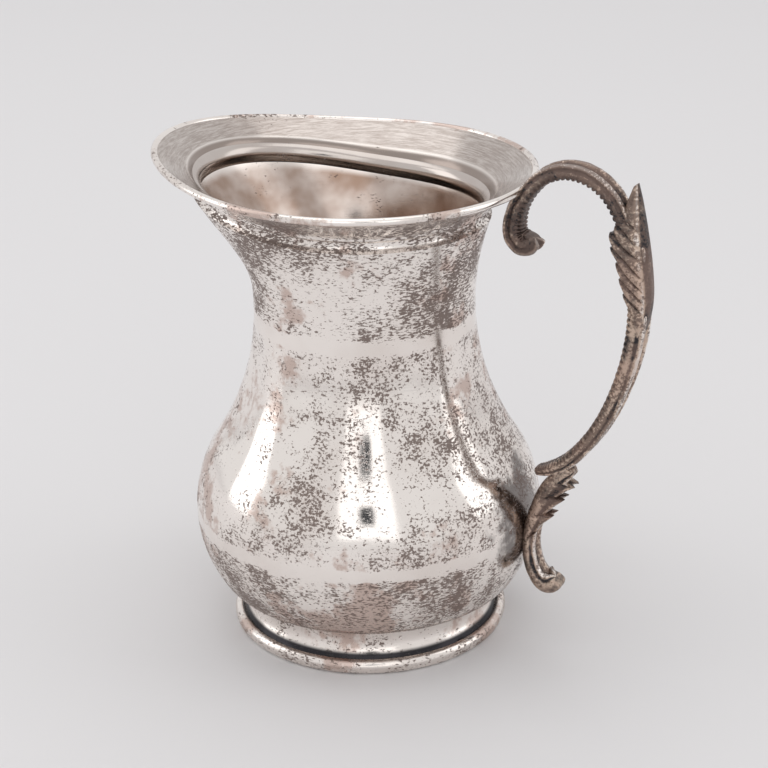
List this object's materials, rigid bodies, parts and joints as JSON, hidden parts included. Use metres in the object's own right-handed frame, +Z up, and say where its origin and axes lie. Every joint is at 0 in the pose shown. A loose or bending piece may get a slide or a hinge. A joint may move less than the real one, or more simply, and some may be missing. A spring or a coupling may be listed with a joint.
{
  "type": "cream jug",
  "caption": "Small baluster silver jug with a lobed belly, flared mouth and drawn spout, collet foot and cast leaf-and-scroll handle.",
  "frame": {"origin": "on the table under the middle of the foot", "axes": "+Z up, +X towards the handle, -X towards the spout"},
  "size_m": [0.0975, 0.067, 0.0974],
  "materials": {
    "silver_sheet": "polished sheet silver, tarnished in specks and stains",
    "cast_silver": "cast silver, oxidised dark in the recesses and worn on the high parts"
  },
  "bodies": {
    "root": {"neck_section": "silver_sheet", "belly_section": "silver_sheet", "base_section": "silver_sheet", "rim_wire": "silver_sheet", "foot_collet": "silver_sheet", "foot_wire": "silver_sheet", "upper_scroll": "cast_silver", "leaf_cap": "cast_silver", "handle_bow": "cast_silver", "lower_scroll": "cast_silver"}
  },
  "joints": []
}
